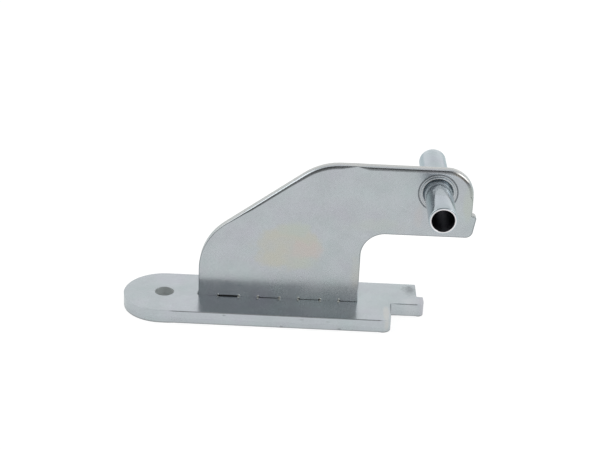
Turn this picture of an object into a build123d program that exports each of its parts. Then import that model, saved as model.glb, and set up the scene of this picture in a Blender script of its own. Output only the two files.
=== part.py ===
from build123d import *

import math
import os

# Fridge door hinge: a flat base plate, an upright arm plate riveted into it and a tubular pin.
# Millimetres. The origin is the screw hole's centre on the base plate's underside, X runs along
# the base plate, Y along the pin towards the rear and Z up from the base plate.

# Base plate
base_thickness = 4.0
base_width = 24.0
screw_hole_diameter = 5.5
base_edge_roll = 0.45
base_lower_edge = 0.25
screw_hole_roll = 0.15

# Locating tongue and the notch beside it, at the end away from the screw hole
rear_end_margin = 17.85
notch_length = 8.2
tongue_lead = 1.9
tongue_width = 5.25
tongue_centre_y = 1.4
outer_corner_radius = 2.5
tongue_corner_radius = 1.8
notch_corner_radius = 0.8
small_corner_radius = 0.4

# Arm plate
arm_thickness = 2.5
foot_start = 10.15
foot_length = 47.15
shoulder_height = 21.75
slant_run = 34.4
bend_radius = 18.0
arm_top = 47.25
arm_height = 20.85
arm_reach = 31.2
arm_corner_radius = 8.0
throat_radius = 7.0
arm_edge_roll = 0.6

# Stop nose at the arm's end
nose_height = 7.0
nose_lead = 1.5
nose_draft = 1.05
nose_top_radius = 1.0
nose_root_radius = 0.3
nose_bottom_radius = 2.2

# Tabs of the arm plate and their slots in the base plate
tab_count = 4
tab_width = 5.6
tab_recess = 0.15
last_shoulder = 5.55
slot_side_clearance = 0.05
slot_end_clearance = 0.3
slot_corner_radius = 0.4
rivet_head_height = 0.4
stake_mark_depth = 0.35
stake_mark_flat = 0.1
stake_mark_inset = 1.0
root_relief_radius = 0.25
seat_gap = 0.25
seat_clearance = 0.02

# Pin
pin_diameter = 8.0
pin_wall = 0.8
pin_front_length = 19.25
pin_rear_length = 21.8
pin_end_inset = 10.3
pin_drop = 7.1
pin_fit_clearance = 0.02
pin_rim_radius = 0.35
pin_mouth_chamfer = 0.1
pin_waist_depth = 0.25
pin_waist_margin = 0.1

# Rings that the staking tool presses into the arm plate around the pin
stake_ring_width = 1.0
stake_ring_depth = 0.5
outer_ring_offset = 1.25
outer_ring_width = 0.33
outer_ring_depth = 0.2

# Worked-out places
base_half_width = base_width / 2
foot_end = foot_start + foot_length
rear_end = foot_end + rear_end_margin
notch_wall = rear_end - notch_length
tongue_end = rear_end + tongue_lead
tongue_front = tongue_centre_y - tongue_width / 2
tongue_rear = tongue_centre_y + tongue_width / 2

arm_front = -arm_thickness / 2
arm_rear = arm_thickness / 2
arm_seat = base_thickness + seat_clearance
arm_bottom = arm_top - arm_height
arm_end = foot_end + arm_reach
nose_top = arm_bottom + nose_height
nose_tip = arm_end + nose_lead

pin_radius = pin_diameter / 2
pin_x = arm_end - pin_end_inset
pin_z = arm_top - pin_drop
pin_length = pin_front_length + arm_thickness + pin_rear_length
pin_front = arm_front - pin_front_length
pin_waist_radius = pin_radius - pin_waist_depth
pin_waist_length = arm_thickness + 2 * pin_waist_margin
pin_hole_radius = pin_waist_radius + pin_fit_clearance

tab_pitch = (foot_length - last_shoulder - tab_width) / (tab_count - 1)
tab_centres = [foot_start + tab_width / 2 + i * tab_pitch for i in range(tab_count)]
slot_length = tab_width + 2 * slot_end_clearance
slot_width = arm_thickness + 2 * slot_side_clearance


def corner(sketch, across, along):
    """The sketch's vertex nearest to a point of the sketch's own plane."""
    return sketch.vertices().sort_by_distance(Vector(across, along, 0))[0]


# Base plate: round at the screw hole, with a tongue and a notch at the other end
with BuildPart() as base_plate:
    with BuildSketch() as base_outline:
        with BuildLine():
            Polyline(
                (0, -base_half_width),
                (notch_wall, -base_half_width),
                (notch_wall, tongue_front),
                (tongue_end, tongue_front),
                (tongue_end, tongue_rear),
                (rear_end, tongue_rear),
                (rear_end, base_half_width),
                (0, base_half_width),
            )
            ThreePointArc((0, base_half_width), (-base_half_width, 0), (0, -base_half_width))
        make_face()
        fillet(corner(base_outline, notch_wall, -base_half_width), outer_corner_radius)
        fillet(corner(base_outline, tongue_end, tongue_front), tongue_corner_radius)
        fillet(corner(base_outline, notch_wall, tongue_front), notch_corner_radius)
        fillet(corner(base_outline, tongue_end, tongue_rear), small_corner_radius)
        fillet(corner(base_outline, rear_end, base_half_width), small_corner_radius)
        fillet(corner(base_outline, rear_end, tongue_rear), small_corner_radius)
    extrude(amount=base_thickness)

    # The punch rolls the upper edge over, and tumbling takes the burr off the lower one
    fillet(base_plate.faces().sort_by(Axis.Z)[-1].edges(), base_edge_roll)
    fillet(base_plate.faces().sort_by(Axis.Z)[0].edges(), base_lower_edge)

    Hole(screw_hole_diameter / 2)
    hole_rim = base_plate.faces().sort_by(Axis.Z)[-1].inner_wires()[0]
    fillet(hole_rim.edges(), screw_hole_roll)

    # Slots for the arm plate's tabs, widened below for the rivet heads
    with BuildSketch():
        for centre in tab_centres:
            with Locations((centre, 0)):
                RectangleRounded(slot_length, slot_width, slot_corner_radius)
    extrude(amount=base_thickness, mode=Mode.SUBTRACT)
    with BuildSketch():
        for centre in tab_centres:
            with Locations((centre, 0)):
                Rectangle(slot_length + 2 * rivet_head_height, slot_width + 2 * rivet_head_height)
    extrude(amount=rivet_head_height, taper=45, mode=Mode.SUBTRACT)


# Arm plate: upright, its slanted back edge rising to the arm that carries the pin
with BuildPart() as arm_plate:
    with BuildSketch(Plane.XZ) as arm_outline:
        with BuildLine():
            Polyline(
                (foot_start, arm_seat),
                (foot_end, arm_seat),
                (foot_end, arm_bottom),
                (nose_tip - nose_draft, arm_bottom),
                (nose_tip, nose_top),
                (arm_end, nose_top),
                (arm_end, arm_top),
                (foot_start + slant_run, arm_top),
                (foot_start, shoulder_height),
                (foot_start, arm_seat),
            )
        make_face()
        fillet(corner(arm_outline, foot_end, arm_bottom), throat_radius)
        fillet(corner(arm_outline, nose_tip - nose_draft, arm_bottom), nose_bottom_radius)
        fillet(corner(arm_outline, nose_tip, nose_top), nose_top_radius)
        fillet(corner(arm_outline, arm_end, nose_top), nose_root_radius)
        fillet(corner(arm_outline, arm_end, arm_top), arm_corner_radius)
        fillet(corner(arm_outline, foot_start + slant_run, arm_top), bend_radius)
        fillet(corner(arm_outline, foot_start, shoulder_height), bend_radius)
    extrude(amount=arm_thickness / 2, both=True)

    # The punch came from the front, so the front edges are rolled and the rear ones square
    fillet(arm_plate.faces().sort_by(Axis.Y)[0].edges(), arm_edge_roll)

    # Tabs, flush with the front face past the rolled edge
    tab_top = arm_seat + arm_edge_roll
    with BuildSketch(Plane.XY.offset(tab_recess)):
        for centre in tab_centres:
            with Locations((centre, 0)):
                Rectangle(tab_width, arm_thickness)
    extrude(amount=tab_top - tab_recess)

    # The foot's bottom edge: small reliefs at the tab roots and one seat that stands off the base
    with BuildSketch(Plane.XZ):
        for centre in tab_centres:
            with Locations((centre + tab_width / 2 + root_relief_radius, arm_seat)):
                Circle(root_relief_radius)
        for centre in tab_centres[1:]:
            with Locations((centre - tab_width / 2 - root_relief_radius, arm_seat)):
                Circle(root_relief_radius)
        with Locations(((tab_centres[0] + tab_centres[1]) / 2, arm_seat + seat_gap / 2)):
            Rectangle(tab_pitch - tab_width, seat_gap)
    extrude(amount=arm_thickness / 2, both=True, mode=Mode.SUBTRACT)

    # Rivet heads, spread into the widened slots, with the chisel's mark across each
    with BuildSketch(Plane.XY.offset(tab_recess)):
        head_spread = 2 * (rivet_head_height - tab_recess)
        for centre in tab_centres:
            with Locations((centre, 0)):
                Rectangle(tab_width + head_spread, arm_thickness + head_spread)
    extrude(amount=rivet_head_height - tab_recess, taper=45)
    with BuildSketch(Plane.XY.offset(tab_recess)):
        for centre in tab_centres:
            with Locations((centre, 0)):
                Rectangle(tab_width - stake_mark_inset, stake_mark_flat + 2 * stake_mark_depth)
    extrude(amount=stake_mark_depth, taper=45, mode=Mode.SUBTRACT)

    # Pin hole, closed in on the pin's waist by the staked rings around it, on both faces
    with BuildSketch(Plane.XZ):
        with Locations((pin_x, pin_z)):
            Circle(pin_hole_radius)
    extrude(amount=arm_thickness / 2, both=True, mode=Mode.SUBTRACT)
    ring_slope = math.degrees(math.atan2(stake_ring_width, stake_ring_depth))
    for face, inward in ((Plane.XZ.offset(-arm_front), -1), (Plane.XZ.offset(-arm_rear), 1)):
        with BuildSketch(face):
            with Locations((pin_x, pin_z)):
                Circle(pin_hole_radius + stake_ring_width)
        extrude(amount=inward * stake_ring_depth, taper=ring_slope, mode=Mode.SUBTRACT)
        with BuildSketch(face):
            with Locations((pin_x, pin_z)):
                Circle(pin_radius + outer_ring_offset + outer_ring_width)
                Circle(pin_radius + outer_ring_offset, mode=Mode.SUBTRACT)
        extrude(amount=inward * outer_ring_depth, mode=Mode.SUBTRACT)


# Pin: a straight tube through the arm, open at both ends, with a waist where the arm grips it
with BuildPart() as hinge_pin:
    with BuildSketch(Plane.XZ.offset(-pin_front)):
        with Locations((pin_x, pin_z)):
            Circle(pin_radius)
            Circle(pin_radius - pin_wall, mode=Mode.SUBTRACT)
    extrude(amount=-pin_length)
    ends = hinge_pin.faces().filter_by(Axis.Y).edges()
    fillet(ends.filter_by(lambda e: e.radius > pin_radius - pin_wall / 2), pin_rim_radius)
    mouths = hinge_pin.edges().filter_by(GeomType.CIRCLE)
    chamfer(mouths.filter_by(lambda e: e.radius < pin_radius - pin_wall / 2), pin_mouth_chamfer)
    with BuildSketch(Plane.XZ.offset(-pin_waist_length / 2)):
        with Locations((pin_x, pin_z)):
            Circle(pin_radius + pin_waist_depth)
            Circle(pin_waist_radius, mode=Mode.SUBTRACT)
    extrude(amount=pin_waist_length, mode=Mode.SUBTRACT)


base_plate.part.label = "base_plate"
arm_plate.part.label = "arm_plate"
hinge_pin.part.label = "hinge_pin"

os.makedirs("parts", exist_ok=True)
export_step(base_plate.part, "parts/base_plate.step")
export_step(arm_plate.part, "parts/arm_plate.step")
export_step(hinge_pin.part, "parts/hinge_pin.step")
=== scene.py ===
# %% [markdown]
# # A fridge door hinge in zinc-plated steel
#
# The real hinge is three pieces of steel. A thick base plate is screwed under the fridge's middle
# rail, a thinner arm plate stands upright in it, and a tube through the arm's end carries one door
# in front and one behind.
#
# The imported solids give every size. This script dresses them: it builds each piece again as a fine
# mesh with the edges that a press leaves, and gives it the look of bright zinc.

# %% Load the frame
import math
from collections import namedtuple

import bmesh
import bpy
from mathutils import Matrix, Vector
from mathutils.geometry import delaunay_2d_cdt


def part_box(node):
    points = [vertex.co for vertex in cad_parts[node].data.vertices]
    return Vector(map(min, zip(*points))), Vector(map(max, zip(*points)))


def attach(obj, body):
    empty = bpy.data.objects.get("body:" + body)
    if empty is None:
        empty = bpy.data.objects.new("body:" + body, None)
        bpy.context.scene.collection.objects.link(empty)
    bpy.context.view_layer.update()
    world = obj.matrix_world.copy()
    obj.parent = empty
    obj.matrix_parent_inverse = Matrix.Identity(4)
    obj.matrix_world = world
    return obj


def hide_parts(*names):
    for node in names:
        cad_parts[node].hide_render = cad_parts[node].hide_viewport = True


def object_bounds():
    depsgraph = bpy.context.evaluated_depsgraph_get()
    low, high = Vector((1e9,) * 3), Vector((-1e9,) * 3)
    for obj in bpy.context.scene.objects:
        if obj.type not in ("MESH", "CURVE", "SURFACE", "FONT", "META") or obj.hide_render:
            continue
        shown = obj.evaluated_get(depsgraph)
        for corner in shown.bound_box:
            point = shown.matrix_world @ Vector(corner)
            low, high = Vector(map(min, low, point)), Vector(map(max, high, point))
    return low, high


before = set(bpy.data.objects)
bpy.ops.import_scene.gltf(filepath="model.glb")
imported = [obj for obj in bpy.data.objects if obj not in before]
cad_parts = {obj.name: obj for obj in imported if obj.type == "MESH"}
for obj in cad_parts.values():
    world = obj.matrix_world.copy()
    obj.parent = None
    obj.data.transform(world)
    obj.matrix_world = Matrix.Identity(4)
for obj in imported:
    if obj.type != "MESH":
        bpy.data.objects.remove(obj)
cad_low, cad_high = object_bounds()
print("CAD box in mm:", [round(1000 * v, 2) for v in cad_high - cad_low])

# %% [markdown]
# ## Sizes
#
# The meshes are drawn in millimetres, as the part is, and scaled to metres when they are finished.
# These are the part's own sizes, so each new mesh has the form of the solid that it stands for.

# %% Sizes of the three pieces
MM = 0.001

base_thickness = 4.0
base_half_width = 12.0
screw_hole_radius = 2.75
notch_wall = 66.95
rear_end = 75.15
tongue_end = 77.05
tongue_front = -1.225
tongue_rear = 4.025

arm_thickness = 2.5
arm_front = -arm_thickness / 2
foot_start = 10.15
foot_end = 57.3
arm_seat = 4.02
shoulder_height = 21.75
bend_start = 44.55
arm_top = 47.25
arm_bottom = 26.4
arm_end = 88.5
nose_top = 33.4
nose_tip = 90.0
nose_draft = 1.05

tab_width = 5.6
tab_bottom = 0.15
tab_pitch = 12.0
tab_centres = [foot_start + tab_width / 2 + i * tab_pitch for i in range(4)]
head_height = 0.4
head_spread = head_height - tab_bottom

pin_x = 78.2
pin_z = 40.15
pin_radius = 4.0
pin_bore = 3.2
pin_front = -20.5
pin_rear = 23.05

# %% [markdown]
# ## An outline with rounded corners
#
# A pressed plate is an outline given a thickness. Blender could draw it as a curve and bevel that,
# but a curve's bevel is the same all round, and a press leaves one edge rolled and the other sharp.
# So the outline is a list of points that each know which way is out, and the edge is built in rings.
#
# Near a small corner an inset outline meets itself. The mitre line takes care of that: once the inset
# is larger than the corner's radius, the points gather on the mitre and move on along it together.

# %% Outline with rounded corners
# A corner's roll is its share of the full rolled edge, and its spread widens a riveted tab's end
Corner = namedtuple("Corner", "across along radius roll spread", defaults=(0.0, 1.0, 0.0))
EdgePoint = namedtuple("EdgePoint", "place outward centre mitre radius roll spread")
STRAIGHT = float("inf")
ARC_STEP = math.radians(4)


def rounded_outline(corners):
    """Points round a closed outline that runs anticlockwise, with each corner rounded by its radius."""
    points = []
    for index, corner in enumerate(corners):
        here = Vector((corner.across, corner.along))
        before = Vector(corners[index - 1][:2])
        after = Vector(corners[(index + 1) % len(corners)][:2])
        run_in, run_out = (here - before).normalized(), (after - here).normalized()
        out_in = Vector((run_in.y, -run_in.x))
        out_out = Vector((run_out.y, -run_out.x))
        turn = -run_in.angle_signed(run_out, 0.0)
        if abs(turn) < ARC_STEP / 4:
            points.append(EdgePoint(here, out_in, here, out_in, STRAIGHT, corner.roll, corner.spread))
            continue
        mitre = (out_in + out_out) / (1 + out_in.dot(out_out))
        limit = corner.radius if turn > 0 else STRAIGHT
        if corner.radius == 0:
            points.append(EdgePoint(here, mitre, here, mitre, limit, corner.roll, corner.spread))
            continue
        reach = math.copysign(corner.radius, turn)
        centre = here - mitre * reach
        steps = max(4, math.ceil(abs(turn) / ARC_STEP))
        for step in range(steps + 1):
            outward = out_in.copy()
            outward.rotate(Matrix.Rotation(turn * step / steps, 2))
            place = centre + outward * reach
            points.append(EdgePoint(place, outward, centre, mitre, limit, corner.roll, corner.spread))
    return points


def inset(point, distance):
    """The point moved into the plate, or out of it where the distance is negative."""
    if distance <= point.radius:
        return point.place - point.outward * distance
    return point.centre - point.mitre * (distance - point.radius)


square = [Corner(0, 0, 2), Corner(9, 0, 2), Corner(9, 9, 2), Corner(0, 9, 2)]
print("A square corner has", len(rounded_outline(square)) // 4, "points")

# %% [markdown]
# ## Walls made of rings
#
# The punch drags the steel's skin down before it cuts, so the side it came from has a rolled edge.
# Below it the wall is smooth where the punch sheared it, then leans in a little where the steel
# broke away. Each step of that section is one ring of points.

# %% Section of a pressed edge, and the rings that follow it
ROLL_STEPS = 7


def pressed_section(thickness, roll_width, roll_depth, land, shear_share, lean, lower_edge):
    """Steps of (inset, depth) from the rolled face to the other one."""
    section = [(roll_width + land, 0.0)]
    for step in range(ROLL_STEPS + 1):
        angle = math.pi / 2 * step / ROLL_STEPS
        section.append((roll_width * (1 - math.sin(angle)), roll_depth * (1 - math.cos(angle))))
    section.append((0.0, thickness * shear_share))
    for angle in (0, math.pi / 6, math.pi / 3, math.pi / 2):
        from_edge = lean + lower_edge * (1 - math.cos(angle))
        section.append((from_edge, thickness - lower_edge * (1 - math.sin(angle))))
    section.append((lean + lower_edge + land, thickness))
    return section


def ring_walls(mesh, outline, section, to_space, roll_depth):
    """One ring of vertices for each step of the section, its roll narrowed by each point's share."""
    rings = []
    for inset_by, depth in section:
        ring = []
        for point in outline:
            share = min(point.roll, 1.0) if depth <= roll_depth else 1.0
            flat = inset(point, inset_by * point.roll)
            ring.append(mesh.verts.new(to_space(flat, depth * share, point.spread)))
        rings.append(ring)
    join_rings(mesh, rings)
    return rings


def join_rings(mesh, rings):
    """Quads between each ring and the next."""
    for upper, lower in zip(rings, rings[1:]):
        for i in range(len(upper)):
            mesh.faces.new((upper[i - 1], upper[i], lower[i], lower[i - 1]))


# %% [markdown]
# ## Flat faces with even triangles
#
# The face inside the rings could be one big polygon, but its slivers would shade badly and bend
# badly. A Delaunay triangulation of the outline, the holes and a grid of points between them gives
# a sheet of nearly even triangles instead, and the holes stay open.

# %% Fill a flat face
GRID_STEP = 2.4
WITHIN_FENCES = 1
MERGE_DISTANCE = 1e-6


def inside(x, y, loop):
    """Whether the point lies inside a closed loop of 2-D points."""
    found = False
    for (x0, y0), (x1, y1) in zip(loop, loop[1:] + loop[:1]):
        if (y0 > y) != (y1 > y) and x < x0 + (y - y0) / (y1 - y0) * (x1 - x0):
            found = not found
    return found


def fill_flat(mesh, rings, to_flat, to_space, depth):
    """Triangles between the first ring and the others, which are holes."""
    loops = [[tuple(to_flat(vert.co)) for vert in ring] for ring in rings]
    edge_verts = [vert for ring in rings for vert in ring]
    boundary = [Vector(spot) for loop in loops for spot in loop]
    fences = []
    start = 0
    for loop in loops:
        count = len(loop)
        fences += [(start + i, start + (i + 1) % count) for i in range(count)]
        start += count

    def in_sheet(x, y):
        return inside(x, y, loops[0]) and not any(inside(x, y, loop) for loop in loops[1:])

    spots = list(boundary)
    low_x, high_x = min(s.x for s in boundary), max(s.x for s in boundary)
    low_y, high_y = min(s.y for s in boundary), max(s.y for s in boundary)
    row = 0
    y = low_y + GRID_STEP / 2
    while y < high_y:
        x = low_x + GRID_STEP / 2 * (1 + row % 2)
        while x < high_x:
            spot = Vector((x, y))
            room = min((spot - other).length for other in boundary)
            if in_sheet(x, y) and room > GRID_STEP / 2:
                spots.append(spot)
            x += GRID_STEP
        y += GRID_STEP * math.sqrt(3) / 2
        row += 1

    found, _, faces, origins, _, _ = delaunay_2d_cdt(
        spots, fences, [], WITHIN_FENCES, MERGE_DISTANCE,
    )
    verts = []
    for spot, origin in zip(found, origins):
        known = [i for i in origin if i < len(edge_verts)]
        verts.append(edge_verts[known[0]] if known else mesh.verts.new(to_space(spot, depth, 0.0)))
    for face in faces:
        middle = sum((found[i] for i in face), Vector((0, 0))) / len(face)
        if in_sheet(*middle):
            mesh.faces.new([verts[i] for i in face])


# %% [markdown]
# ## From mesh to piece
#
# Points that fell together on a mitre are merged, the faces are turned outwards, and edges steeper
# than a threshold stay crisp while the rolls shade smoothly. The piece rides on the hinge's only
# body and stands for its solid, which is then hidden.

# %% Finish a piece
SHARP_ANGLE = math.radians(38)
WELD_DISTANCE = 1e-4


def new_object(name, data):
    """An object with that data, linked into the scene."""
    made = bpy.data.objects.new(name, data)
    bpy.context.scene.collection.objects.link(made)
    return made


def finish_piece(name, mesh):
    """Turns the bmesh into an object in metres that replaces the CAD node of that name."""
    bmesh.ops.remove_doubles(mesh, verts=mesh.verts, dist=WELD_DISTANCE)
    bmesh.ops.recalc_face_normals(mesh, faces=mesh.faces)
    bmesh.ops.scale(mesh, vec=(MM, MM, MM), verts=mesh.verts)
    data = bpy.data.meshes.new(name + "_finished")
    mesh.to_mesh(data)
    mesh.free()
    data.polygons.foreach_set("use_smooth", [True] * len(data.polygons))
    data.set_sharp_from_angle(angle=SHARP_ANGLE)
    piece = new_object(name + "_finished", data)
    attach(piece, "root")
    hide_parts(name)
    low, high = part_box(name)
    mine_low = Vector([min(v.co[i] for v in data.vertices) for i in range(3)])
    mine_high = Vector([max(v.co[i] for v in data.vertices) for i in range(3)])
    print(name, len(data.polygons), "faces; box corners differ from the solid's by",
          [round(1000 * v, 3) for v in (*(mine_low - low), *(mine_high - high))], "mm")
    return piece


# %% [markdown]
# ## Base plate
#
# Four millimetres of steel, round at the screw hole, with a tongue and a notch at the other end. It
# was punched from above, so its upper edge is rolled and the lower one is only tumbled. The slots
# for the arm's tabs are widened underneath, where the rivet heads lie.

# %% Build the base plate
base_roll_width = 0.32
base_roll_depth = 0.3
slot_length = 6.2
slot_width = 2.54
slot_corner = 0.4


def base_space(flat, depth, spread):
    """Where a flat point lies in space, at a depth under the upper face; nothing spreads here."""
    return Vector((flat.x, flat.y, base_thickness - depth))


def base_flat(place):
    return Vector((place.x, place.y))


def rounded_box(x, y, length, width, radius):
    """Outline of a rounded rectangle, or of a circle where the radius is half of both sides."""
    half_x, half_y = length / 2, width / 2
    return rounded_outline([
        Corner(x - half_x, y - half_y, radius),
        Corner(x + half_x, y - half_y, radius),
        Corner(x + half_x, y + half_y, radius),
        Corner(x - half_x, y + half_y, radius),
    ])


base_mesh = bmesh.new()
base_outline = rounded_outline([
    Corner(-base_half_width, -base_half_width, base_half_width, 0.12),
    Corner(2.4, -base_half_width, 0, 0.12),
    Corner(3.8, -base_half_width),
    Corner(notch_wall - 3.5, -base_half_width),
    Corner(notch_wall, -base_half_width, 2.5, 0.15),
    Corner(notch_wall, -6.0, 0, 0.8),
    Corner(notch_wall, tongue_front, 0.8, 0.3),
    Corner(notch_wall + 2.5, tongue_front, 0, 1.0),
    Corner(tongue_end - 2.2, tongue_front, 0, 1.0),
    Corner(tongue_end, tongue_front, 1.8, 0.15),
    Corner(tongue_end, tongue_rear, 0.4),
    Corner(rear_end, tongue_rear, 0.4),
    Corner(rear_end, base_half_width, 0.4),
    Corner(-base_half_width, base_half_width, base_half_width),
])
base_section = pressed_section(
    base_thickness, base_roll_width, base_roll_depth,
    land=0.2, shear_share=0.45, lean=0.04, lower_edge=0.22,
)
base_rings = ring_walls(base_mesh, base_outline, base_section, base_space, base_roll_depth)
tops, bottoms = [base_rings[0]], [base_rings[-1]]

# Sections of the holes from the top down, where a negative inset lies outside the hole
hole_side = 2 * screw_hole_radius
hole_outline = rounded_box(0, 0, hole_side, hole_side, screw_hole_radius)
hole_section = [(-0.4, 0), (-0.15, 0), (-0.09, 0.02), (-0.04, 0.06), (0, 0.15), (0, 3.85), (-0.15, 4)]
slot_section = [(-0.1, 0), (-0.02, 0), (0, 0.02), (0, 3.6), (-0.4, 4.0)]
inner_walls = [(hole_outline, hole_section)]
for centre in tab_centres:
    slot_outline = rounded_box(centre, 0, slot_length, slot_width, slot_corner)
    inner_walls.append((slot_outline, slot_section))
for outline, section in inner_walls:
    rings = ring_walls(base_mesh, outline, section, base_space, 0)
    tops.append(rings[0])
    bottoms.append(rings[-1])

fill_flat(base_mesh, tops, base_flat, base_space, 0.0)
fill_flat(base_mesh, bottoms, base_flat, base_space, base_thickness)
base_plate = finish_piece("base_plate", base_mesh)

# %% [markdown]
# ## Arm plate
#
# The arm plate is 2.5 mm thick and stands on its edge. Its outline starts at the foot, where four
# tabs go down through the base plate, and runs on up the right-hand edge, round the throat, the
# nose, the arm's end and the long slanted back.
#
# A press rolls an edge unevenly. Here the roll is slight at the foot, grows up the slanted back, and
# almost runs out at one place on top. So each corner carries a share of the full roll, and the share
# changes evenly along the straight runs between corners.

# %% Outline of the arm plate
foot_roll = 0.12
foot_corner = 0.12
relief_width = 0.5
relief_height = 0.25
relief_radius = 0.2
seat_gap = 0.25
mark_half_length = 2.3
mark_depth = 0.35


def tab_end(centre):
    """Corners of a tab's riveted end, from left to right, with the chisel mark's ends between them."""
    half = tab_width / 2
    mark = mark_half_length
    left_steps = (-half - head_spread, -mark, -mark + mark_depth)
    steps = [*left_steps, *(-step for step in reversed(left_steps))]
    return [
        Corner(centre - half, head_height, 0, foot_roll),
        *(Corner(centre + step, tab_bottom, 0, foot_roll, head_spread) for step in steps),
        Corner(centre + half, head_height, 0, foot_roll),
    ]


def foot_corners():
    """The foot from its left end to its right one: tabs, reliefs and the seats between them."""
    half = tab_width / 2
    corners = []
    for index, centre in enumerate(tab_centres):
        corners += tab_end(centre)
        right = centre + half
        following = right + tab_pitch - tab_width
        if index == 0:
            steps = [(right, seat_gap, relief_radius), (following, seat_gap, relief_radius)]
        else:
            steps = [
                (right, relief_height, relief_radius),
                (right + relief_width, relief_height, relief_radius),
                (right + relief_width, 0, foot_corner),
            ]
        if 0 < index < len(tab_centres) - 1:
            steps += [
                (following - relief_width, 0, foot_corner),
                (following - relief_width, relief_height, relief_radius),
                (following, relief_height, relief_radius),
            ]
        corners += [Corner(across, arm_seat + up, radius, foot_roll) for across, up, radius in steps]
    corners.append(Corner(foot_end, arm_seat, foot_corner, foot_roll))
    return corners


def on_slant(across):
    """The point of the slanted back at that distance along the plate."""
    share = (across - foot_start) / (bend_start - foot_start)
    return across, shoulder_height + share * (arm_top - shoulder_height)


arm_outline = rounded_outline([
    *foot_corners(),
    Corner(foot_end, arm_seat + 3.0, 0, 0.25),
    Corner(foot_end, arm_bottom, 7.0, 0.3),
    Corner(nose_tip - nose_draft, arm_bottom, 2.2, 0.35),
    Corner(nose_tip, nose_top, 1.0, 0.3),
    Corner(arm_end, nose_top, 0.3, 0.3),
    Corner(arm_end, nose_top + 3.0, 0, 0.3),
    Corner(arm_end, nose_top + 5.5, 0, 0.6),
    Corner(arm_end, arm_top, 8.0, 1.15),
    Corner(79.0, arm_top, 0, 0.95),
    Corner(76.0, arm_top, 0, 0.95),
    Corner(58.5, arm_top),
    Corner(54.9, arm_top, 0, 0.12),
    Corner(bend_start, arm_top, 18.0),
    Corner(*on_slant(36.0), 0, 0.8),
    Corner(*on_slant(25.0), 0, 0.7),
    Corner(*on_slant(23.0), 0, 0.5),
    Corner(foot_start, shoulder_height, 18.0, 0.22),
    Corner(foot_start, arm_seat + 3.0, 0, 0.2),
    Corner(foot_start, arm_seat, 0, foot_roll),
])
print("The arm's outline has", len(arm_outline), "points")

# %% [markdown]
# ## Rings round the pin
#
# A ring-shaped punch was driven into the arm on both faces to squeeze its steel onto the tube. It
# left a sloping ring right at the pin and a narrow groove outside it, each with a fine ridge of
# squeezed metal along its rim. On a lathe this would be one cut, so here it is one profile, turned
# about the pin's axis, from the front face down through the hole and out at the back.

# %% Profile of the staked rings, turned about the pin's axis
TURN_STEPS = 96


def turned_rings(mesh, profile, x, z):
    """Rings of vertices about an axis along Y; the profile is a list of (radius, y)."""
    rings = []
    for radius, y in profile:
        angles = [2 * math.pi * i / TURN_STEPS for i in range(TURN_STEPS)]
        rings.append([
            mesh.verts.new((x + radius * math.cos(a), y, z + radius * math.sin(a))) for a in angles
        ])
    join_rings(mesh, rings)
    return rings


# Radii and depths from the outside in: the narrow groove, the land with its two ridges, which stand
# a little proud, and the sloping ring down to the tube
outer_groove = 5.62
outer_ridge = 5.15
inner_ridge = 4.47
groove_steps = [
    (5.82, 0.0), (5.79, 0.0), (5.75, 0.03), (5.7, 0.16), (5.65, 0.2),
    (5.58, 0.2), (5.53, 0.16), (5.47, 0.03), (5.4, 0.0),
]
land_steps = [
    (5.26, -0.02), (outer_ridge, -0.03), (5.04, -0.01), (4.9, 0.02),
    (4.72, 0.02), (4.58, 0.0), (inner_ridge, -0.03), (4.38, 0.02),
]
slope_steps = [(4.28, 0.12), (4.16, 0.26), (4.02, 0.38), (3.88, 0.47), (3.77, 0.5)]
stake_profile = [*groove_steps, *land_steps, *slope_steps]
hole_profile = [(radius, arm_front + depth) for radius, depth in stake_profile]
hole_profile += [(radius, -arm_front - depth) for radius, depth in reversed(stake_profile)]
print("Stake rings reach", max(r for r, _ in stake_profile), "mm from the pin's axis")

# %% Build the arm plate
arm_roll_width = 1.3
arm_roll_depth = 1.15
arm_shear_share = 0.475
mark_offsets = (-0.4, -0.05, 0.05, 0.4)


def arm_space(flat, depth, spread):
    """Where a flat point lies in space; a rivet head is wider than the plate by its spread."""
    y = arm_front + depth
    return Vector((flat.x, y * (1 + spread / (arm_thickness / 2)), flat.y))


def arm_flat(place):
    return Vector((place.x, place.z))


arm_mesh = bmesh.new()
arm_section = pressed_section(
    arm_thickness, arm_roll_width, arm_roll_depth,
    land=0.04, shear_share=arm_shear_share, lean=0.04, lower_edge=0.08,
)

# The chisel mark across a tab's end takes four more rings, which lie close together elsewhere
first_mark = arm_section.index((0.0, arm_thickness * arm_shear_share)) + 1
arm_section[first_mark:first_mark] = [(0.0, arm_thickness / 2 + offset / 10) for offset in mark_offsets]
arm_rings = ring_walls(arm_mesh, arm_outline, arm_section, arm_space, arm_roll_depth)
for ring, offset in zip(arm_rings[first_mark:], mark_offsets):
    for vert, point in zip(ring, arm_outline):
        to_centre = min(abs(point.place.x - centre) for centre in tab_centres)
        if point.spread:
            vert.co.y = offset
        if point.spread and abs(offset) < 0.1 and to_centre < mark_half_length - mark_depth / 2:
            vert.co.z += mark_depth

# Each face is a sheet with the staked hole, and every tab's end has a face of its own
staked = turned_rings(arm_mesh, hole_profile, pin_x, pin_z)
for ring, hole, depth in ((arm_rings[0], staked[0], 0.0), (arm_rings[-1], staked[-1], arm_thickness)):
    sheet = [vert for vert, point in zip(ring, arm_outline) if not point.spread]
    fill_flat(arm_mesh, [sheet, hole], arm_flat, arm_space, depth)
    head = []
    for index, point in enumerate(arm_outline):
        following = arm_outline[(index + 1) % len(arm_outline)]
        if point.spread or following.spread:
            head.append(ring[index])
        elif head:
            arm_mesh.faces.new([*head, ring[index]])
            head = []
arm_plate = finish_piece("arm_plate", arm_mesh)

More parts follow.
